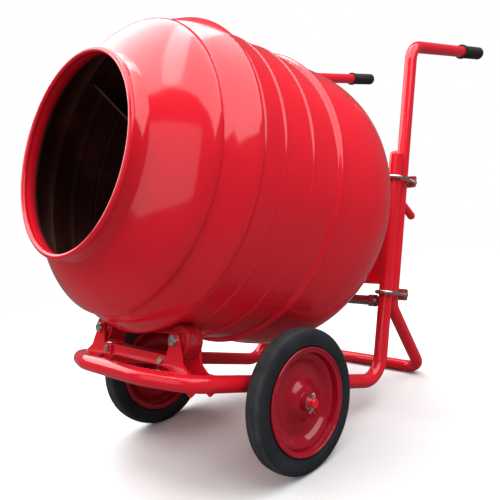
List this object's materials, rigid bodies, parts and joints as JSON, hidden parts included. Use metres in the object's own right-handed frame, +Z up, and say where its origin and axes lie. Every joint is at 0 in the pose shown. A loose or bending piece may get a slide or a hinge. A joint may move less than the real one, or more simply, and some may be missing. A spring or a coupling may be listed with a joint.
{
  "type": "concrete mixer",
  "caption": "Hand-cranked tilting-frame concrete mixer: a ridged steel drum on rollers and a rear bearing, carried by a bent-tube frame with wheels, stand and handles.",
  "frame": {"origin": "on the ground, midway between the wheels and straight below the axle", "axes": "+Z up, -Y the way the drum's mouth faces, +X across the machine to its right as seen from behind"},
  "size_m": [0.688, 1.4386, 0.9646],
  "materials": {
    "frame_paint": "gloss red enamel, lightly scuffed",
    "drum_paint": "gloss red enamel outside, cement-stained dark inside",
    "wheel_paint": "gloss red enamel",
    "blade_steel": "worn, cement-stained paint",
    "roller_paint": "red enamel, worn where the drum runs",
    "zinc": "bright zinc plate",
    "cast_grey": "painted casting",
    "bearing_steel": "ground bearing steel",
    "bronze": "oiled bronze",
    "tyre_rubber": "moulded solid rubber, dusty tread",
    "grip_rubber": "moulded black rubber",
    "black_plastic": "moulded plastic"
  },
  "bodies": {
    "frame": {"main_frame_tube": "frame_paint", "upright_caps": "frame_paint", "handle_stand_tube": "frame_paint", "u_bolts": "zinc", "u_bolt_saddles": "zinc", "u_bolt_nuts": "zinc", "axle": "frame_paint", "axle_collars": "zinc", "axle_end_washers": "zinc", "split_pins": "zinc", "roller_tie_angle": "frame_paint", "roller_axle_bolts": "zinc", "roller_axle_nuts": "zinc", "roller_axle_washers": "zinc", "tie_bolts": "zinc", "tie_nuts": "zinc", "grip_left": "grip_rubber", "axle_bracket_left": "frame_paint", "front_roller_plate_left": "frame_paint", "rear_roller_plate_left": "frame_paint", "grip_right": "grip_rubber", "axle_bracket_right": "frame_paint", "front_roller_plate_right": "frame_paint", "rear_roller_plate_right": "frame_paint", "rear_cross_plate": "frame_paint", "bearing_housing": "cast_grey", "grease_nipple": "bronze", "bearing_outer_ring": "bearing_steel", "bearing_ball_set": "bearing_steel", "bearing_bolts": "zinc", "bearing_nuts": "zinc", "rear_tie_bar": "zinc"},
    "drum": {"drum_front_cone": "drum_paint", "drum_barrel": "drum_paint", "drum_rear_dish": "drum_paint", "drum_back_plate": "frame_paint", "drum_shaft": "frame_paint", "flange_bolts": "zinc", "flange_nuts": "zinc", "mixing_blade_1": "blade_steel", "mixing_blade_2": "blade_steel", "mixing_blade_3": "blade_steel", "bearing_inner_ring": "bearing_steel", "grub_screws": "zinc", "crank_boss": "frame_paint", "crank_pin": "zinc", "crank_handle": "frame_paint"},
    "left_roller": {"roller_left": "roller_paint", "roller_bush_left": "bronze"},
    "left_wheel": {"wheel_disc_left": "wheel_paint", "wheel_hub_left": "wheel_paint", "wheel_bush_left": "black_plastic", "tyre_left": "tyre_rubber"},
    "right_roller": {"roller_right": "roller_paint", "roller_bush_right": "bronze"},
    "right_wheel": {"wheel_disc_right": "wheel_paint", "wheel_hub_right": "wheel_paint", "wheel_bush_right": "black_plastic", "tyre_right": "tyre_rubber"}
  },
  "joints": [
    {"name": "drum_spin", "type": "hinge", "parent": "frame", "child": "drum", "pos_m": [0, 0.13803, 0.56252], "axis": [0, 0.9483, -0.3173], "continuous": true},
    {"name": "left_roller_spin", "type": "hinge", "parent": "frame", "child": "left_roller", "pos_m": [-0.134, -0.18354, 0.31687], "axis": [0, 0.9483, -0.3173], "continuous": true},
    {"name": "right_roller_spin", "type": "hinge", "parent": "frame", "child": "right_roller", "pos_m": [0.134, -0.18354, 0.31687], "axis": [0, 0.9483, -0.3173], "continuous": true},
    {"name": "left_wheel_spin", "type": "hinge", "parent": "frame", "child": "left_wheel", "pos_m": [-0.251, 0, 0.15], "axis": [1, 0, 0], "continuous": true},
    {"name": "right_wheel_spin", "type": "hinge", "parent": "frame", "child": "right_wheel", "pos_m": [0.251, 0, 0.15], "axis": [1, 0, 0], "continuous": true}
  ],
  "couplings": [
    {"joint": "left_roller_spin", "follows": "drum_spin", "ratio": -10.266},
    {"joint": "right_roller_spin", "follows": "drum_spin", "ratio": -10.266}
  ]
}
